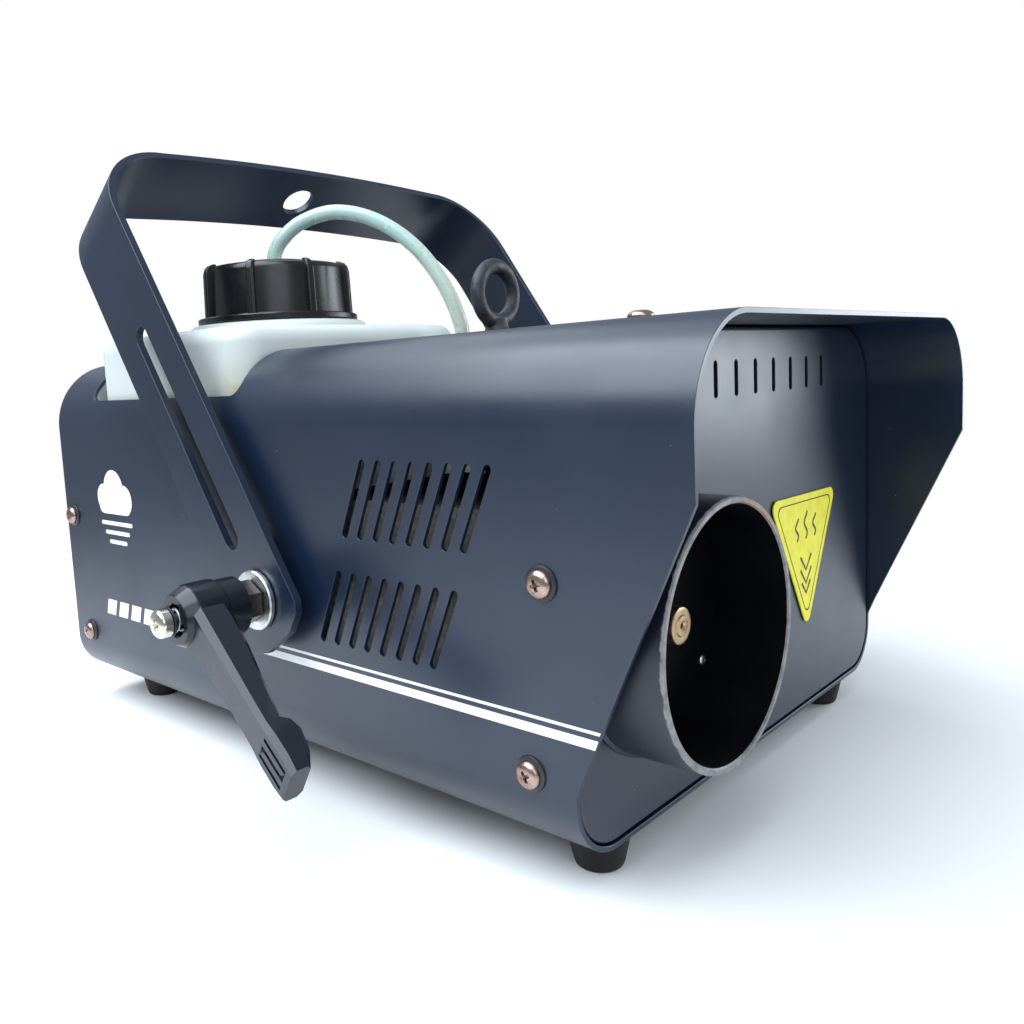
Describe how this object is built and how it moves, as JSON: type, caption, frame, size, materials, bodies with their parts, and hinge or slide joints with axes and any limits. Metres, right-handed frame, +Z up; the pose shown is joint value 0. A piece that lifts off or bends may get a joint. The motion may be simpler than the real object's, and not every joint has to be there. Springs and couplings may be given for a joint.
{
  "type": "fog machine",
  "caption": "Compact stage fog machine: hooded black sheet-metal body, round fog outlet, lift-out fluid tank with screw cap and feed hose, and a tilting yoke held by clamp levers.",
  "frame": {"origin": "centre of the bounding box's underside, on the plane under the four feet", "axes": "+Z up, the fog outlet faces -Y, +X to the right seen from the front"},
  "size_m": [0.3164, 0.328, 0.2497],
  "materials": {
    "black_coat": "satin powder coat",
    "zinc": "bright zinc plate",
    "steel": "plain",
    "black_plastic": "moulded, slightly glossy",
    "rubber": "matt",
    "milk_plastic": "milky, translucent",
    "brass": "turned",
    "copper": "drawn copper",
    "alloy": "mill finish",
    "wool": "needled mineral fibre",
    "mint_tube": "soft, translucent",
    "board": "solder mask",
    "yellow_label": "printed film"
  },
  "bodies": {
    "housing": {"cover": "black_coat", "front_panel": "black_coat", "rear_panel": "black_coat", "floor_plate": "alloy", "tank_tray": "alloy", "heat_label": "yellow_label", "foot_fl": "rubber", "foot_fr": "rubber", "foot_rl": "rubber", "foot_rr": "rubber", "outlet_tube": "black_coat", "nozzle": "brass", "heater_block": "alloy", "heater_jacket": "wool", "heater_stand_front": "steel", "heater_stand_rear": "steel", "thermostat": "steel", "heater_pipe": "copper", "pump_body": "black_plastic", "pump_coil": "copper", "pump_bracket": "zinc", "pump_spring": "steel", "inner_hose": "mint_tube", "control_board": "board", "transformer": "steel", "mains_inlet": "black_plastic", "pin_live": "zinc", "pin_neutral": "zinc", "pin_earth": "zinc", "switch_frame": "black_plastic", "remote_socket": "zinc", "eye_bolt": "black_coat", "eye_nut": "zinc", "grommet": "rubber", "feed_hose": "mint_tube", "left_spacer": "rubber", "left_washer": "zinc", "left_nut": "zinc", "right_spacer": "rubber", "right_washer": "zinc", "right_nut": "zinc"},
    "tank_unit": {"tank": "milk_plastic", "pickup_tube": "mint_tube", "pickup_filter": "brass"},
    "pickup": {"cap_seal": "rubber"},
    "screw_cap": {"cap": "black_plastic"},
    "yoke_frame": {"yoke": "black_coat"},
    "left_clamp": {"left_stud": "zinc", "left_lever_spring": "steel"},
    "left_lever": {"left_handle": "black_plastic"},
    "right_clamp": {"right_stud": "zinc", "right_lever_spring": "steel"},
    "right_lever": {"right_handle": "black_plastic"},
    "plunger": {"pump_plunger": "steel"},
    "fuse_holder": {"fuse_drawer": "black_plastic"},
    "power_rocker": {"rocker": "black_plastic"}
  },
  "joints": [
    {"name": "yoke_tilt", "type": "hinge", "parent": "housing", "child": "yoke_frame", "pos_m": [0, -0.001, 0.0723], "axis": [1, 0, 0], "range_deg": [-60, 130]},
    {"name": "left_lever_turn", "type": "hinge", "parent": "housing", "child": "left_clamp", "pos_m": [-0.11, -0.001, 0.0723], "axis": [1, 0, 0], "range_deg": [-150, 40]},
    {"name": "left_lever_pull", "type": "slide", "parent": "left_clamp", "child": "left_lever", "axis": [-1, 0, 0], "range_m": [0, 0.004], "stiffness_N_per_m": 600, "springref_m": -0.002, "deforming": ["left_lever_spring"]},
    {"name": "right_lever_turn", "type": "hinge", "parent": "housing", "child": "right_clamp", "pos_m": [0.11, -0.001, 0.0723], "axis": [1, 0, 0], "range_deg": [-150, 40]},
    {"name": "right_lever_pull", "type": "slide", "parent": "right_clamp", "child": "right_lever", "axis": [1, 0, 0], "range_m": [0, 0.004], "stiffness_N_per_m": 600, "springref_m": -0.002, "deforming": ["right_lever_spring"]},
    {"name": "tank_lift", "type": "slide", "parent": "housing", "child": "tank_unit", "axis": [0, 0, 1], "range_m": [0, 0.025], "deforming": ["feed_hose"]},
    {"name": "cap_rise", "type": "slide", "parent": "tank_unit", "child": "pickup", "axis": [0, 0, 1], "range_m": [0, 0.006], "deforming": ["feed_hose"]},
    {"name": "cap_unscrew", "type": "hinge", "parent": "pickup", "child": "screw_cap", "pos_m": [-0.043, 0.0765, 0.19], "axis": [0, 0, 1], "range_deg": [0, 540]},
    {"name": "pump_stroke", "type": "slide", "parent": "housing", "child": "plunger", "axis": [1, 0, 0], "range_m": [-0.0015, 0.003], "stiffness_N_per_m": 900, "deforming": ["pump_spring"]},
    {"name": "fuse_drawer_pull", "type": "slide", "parent": "housing", "child": "fuse_holder", "axis": [0, 1, 0], "range_m": [0, 0.014]},
    {"name": "rocker_press", "type": "hinge", "parent": "housing", "child": "power_rocker", "pos_m": [0.066, 0.161, 0.1045], "axis": [1, 0, 0], "range_deg": [0, 12]}
  ],
  "couplings": [
    {"joint": "cap_rise", "follows": "cap_unscrew", "m_per_rad": 0.000636}
  ]
}
